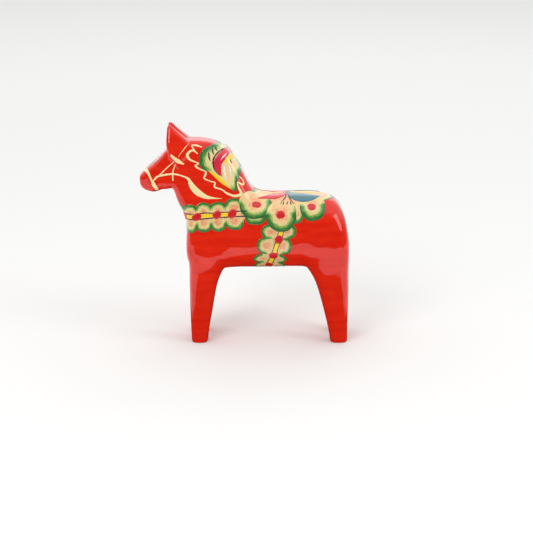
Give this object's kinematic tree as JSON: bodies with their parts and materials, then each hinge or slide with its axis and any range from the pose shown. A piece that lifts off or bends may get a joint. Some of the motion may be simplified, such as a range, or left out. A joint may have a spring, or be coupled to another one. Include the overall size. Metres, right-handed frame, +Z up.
{
  "type": "carved wooden horse figurine",
  "caption": "Carved wooden folk-art horse on four straight legs, lacquered red, with a brushed floral saddle, breast band, girth and bridle.",
  "frame": {"origin": "on the ground under the middle of the horse: centre of the bounding box, level with the feet", "axes": "+Z up, the horse looks along -X, +Y is its right side"},
  "size_m": [0.1569, 0.0486, 0.165],
  "materials": {
    "bare_pine": "sanded bare wood, painted over except under the feet",
    "red_enamel": "glossy lacquered enamel over carved wood",
    "band_paint": "thick brushed paint, green running to cream",
    "saddle_paint": "thick brushed paint, green running to peach",
    "girth_paint": "thick brushed paint, green running to cream",
    "flower_paint": "thick brushed paint, green running to cream",
    "cream_line": "thick brushed paint",
    "strap_yellow": "thick brushed paint with black edge lines",
    "dot_red": "thick brushed paint",
    "leaf_red": "thick brushed paint",
    "leaf_teal": "thick brushed paint",
    "heart_crimson": "thick brushed paint"
  },
  "bodies": {
    "root": {"pine_body": "bare_pine", "red_coat": "red_enamel", "breast_band": "band_paint", "saddle": "saddle_paint", "girth": "girth_paint", "neck_flower": "flower_paint", "mane_scroll": "cream_line", "bridle": "cream_line", "rein": "cream_line", "breast_dots": "dot_red", "breast_strap": "strap_yellow", "saddle_dots": "dot_red", "red_leaf": "leaf_red", "teal_leaf": "leaf_teal", "girth_dots": "dot_red", "girth_strap": "strap_yellow", "neck_heart": "heart_crimson"}
  },
  "joints": []
}
